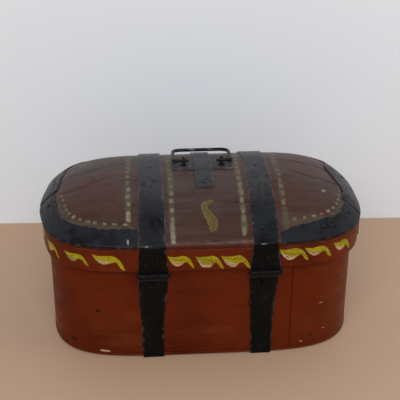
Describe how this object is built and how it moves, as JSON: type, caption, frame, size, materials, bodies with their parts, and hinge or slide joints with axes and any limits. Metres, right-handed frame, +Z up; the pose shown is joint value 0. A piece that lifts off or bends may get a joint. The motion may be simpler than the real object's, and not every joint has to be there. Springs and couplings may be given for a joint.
{
  "type": "hat box",
  "caption": "Oval bentwood box with a domed plank lid, bound in forged iron straps, with strap hinges, a folding bail handle and a hasp.",
  "frame": {"origin": "centre of the bounding box in plan, on the level that the box stands on", "axes": "+X along the box to the right of someone facing the hinges, +Y from the hinges to the hasp, +Z up"},
  "size_m": [0.5076, 0.328, 0.2766],
  "materials": {
    "painted_hoops": "red-brown oil paint on bent splint, satin, worn at the edges",
    "painted_planks": "dark purple-brown paint with olive bands, dusty satin",
    "bottom_wood": "painted edge, bare underside",
    "peg_wood": "painted over",
    "strap_iron": "black painted forged iron, rubbed to bare grey at bends",
    "bail_iron": "forged rod, dark and slightly polished by use",
    "nail_iron": "hammered nail heads, black"
  },
  "bodies": {
    "box": {"bottom_board": "bottom_wood", "body_hoop": "painted_hoops", "body_strap_left": "strap_iron", "body_strap_right": "strap_iron", "hasp_plate": "strap_iron", "hinge_pin_left": "strap_iron", "hinge_pin_right": "strap_iron", "hasp_pin": "strap_iron", "nail_body_left_1": "nail_iron", "nail_body_left_2": "nail_iron", "nail_body_left_3": "nail_iron", "nail_body_right_1": "nail_iron", "nail_body_right_2": "nail_iron", "nail_body_right_3": "nail_iron", "nail_hasp_plate": "nail_iron", "peg_1": "peg_wood", "peg_2": "peg_wood", "peg_3": "peg_wood", "peg_4": "peg_wood", "peg_5": "peg_wood", "peg_6": "peg_wood"},
    "lid": {"lid_hoop": "painted_hoops", "lid_plank_front": "painted_planks", "lid_plank_middle": "painted_planks", "lid_plank_rear": "painted_planks", "lid_strap_left": "strap_iron", "lid_strap_right": "strap_iron", "edge_iron_front_left": "strap_iron", "edge_iron_rear_left": "strap_iron", "edge_iron_front_right": "strap_iron", "edge_iron_rear_right": "strap_iron", "centre_strap": "strap_iron", "handle_plate": "strap_iron", "bail_eye_left": "bail_iron", "bail_eye_right": "bail_iron", "lock_staple": "strap_iron", "nail_lid_left_1": "nail_iron", "nail_lid_left_2": "nail_iron", "nail_lid_left_3": "nail_iron", "nail_lid_right_1": "nail_iron", "nail_lid_right_2": "nail_iron", "nail_lid_right_3": "nail_iron", "nail_rim_left_front": "nail_iron", "nail_rim_left_rear": "nail_iron", "nail_rim_right_front": "nail_iron", "nail_rim_right_rear": "nail_iron", "nail_edge_iron_front_left_1": "nail_iron", "nail_edge_iron_front_left_2": "nail_iron", "nail_edge_iron_rear_left_1": "nail_iron", "nail_edge_iron_rear_left_2": "nail_iron", "nail_edge_iron_front_right_1": "nail_iron", "nail_edge_iron_front_right_2": "nail_iron", "nail_edge_iron_rear_right_1": "nail_iron", "nail_edge_iron_rear_right_2": "nail_iron", "nail_handle_plate_left": "nail_iron", "nail_handle_plate_right": "nail_iron", "nail_centre_strap": "nail_iron"},
    "bail": {"bail_handle": "bail_iron"},
    "hasp": {"hasp": "strap_iron"}
  },
  "joints": [
    {"name": "lid_hinge", "type": "hinge", "parent": "box", "child": "lid", "pos_m": [0, -0.16065, 0.1546], "axis": [1, 0, 0], "range_deg": [0, 105]},
    {"name": "bail_hinge", "type": "hinge", "parent": "lid", "child": "bail", "pos_m": [0.005, -0.00395, 0.2696], "axis": [1, 0, 0], "range_deg": [0, 195]},
    {"name": "hasp_hinge", "type": "hinge", "parent": "box", "child": "hasp", "pos_m": [0.005, 0.15275, 0.1546], "axis": [1, 0, 0], "range_deg": [0, 180]}
  ]
}
